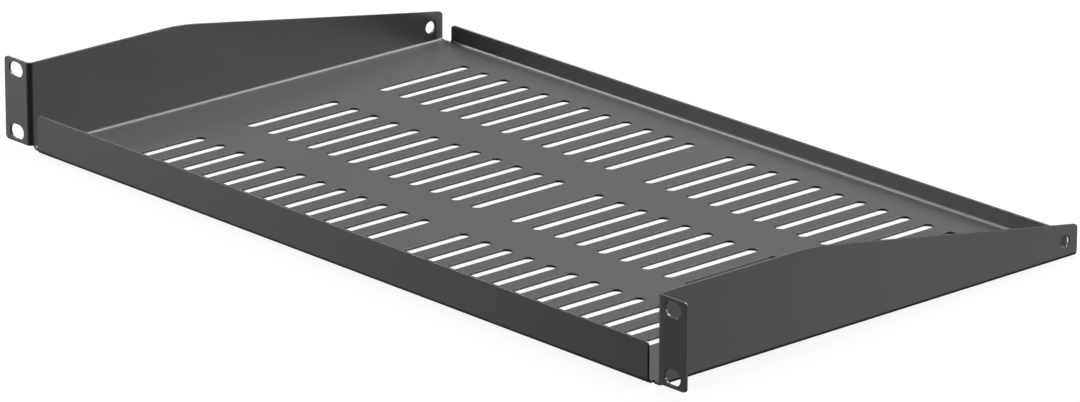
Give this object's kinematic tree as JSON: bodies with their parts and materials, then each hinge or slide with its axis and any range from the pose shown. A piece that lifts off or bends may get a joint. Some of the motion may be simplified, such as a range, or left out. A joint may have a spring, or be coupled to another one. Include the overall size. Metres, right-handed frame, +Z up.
{
  "type": "rack shelf",
  "caption": "Shallow one-unit shelf for a 19-inch rack: a folded steel tray with slotted pan, tapered side walls and slotted mounting ears.",
  "frame": {"origin": "middle of the four ear holes, on the front face of the ears", "axes": "+X across the rack to the shelf's right seen from the front, +Y to the rear, +Z up"},
  "size_m": [0.4826, 0.2691, 0.0445],
  "materials": {
    "shelf": "black fine-texture powder coat, satin"
  },
  "bodies": {
    "root": {"shelf": "shelf"}
  },
  "joints": []
}
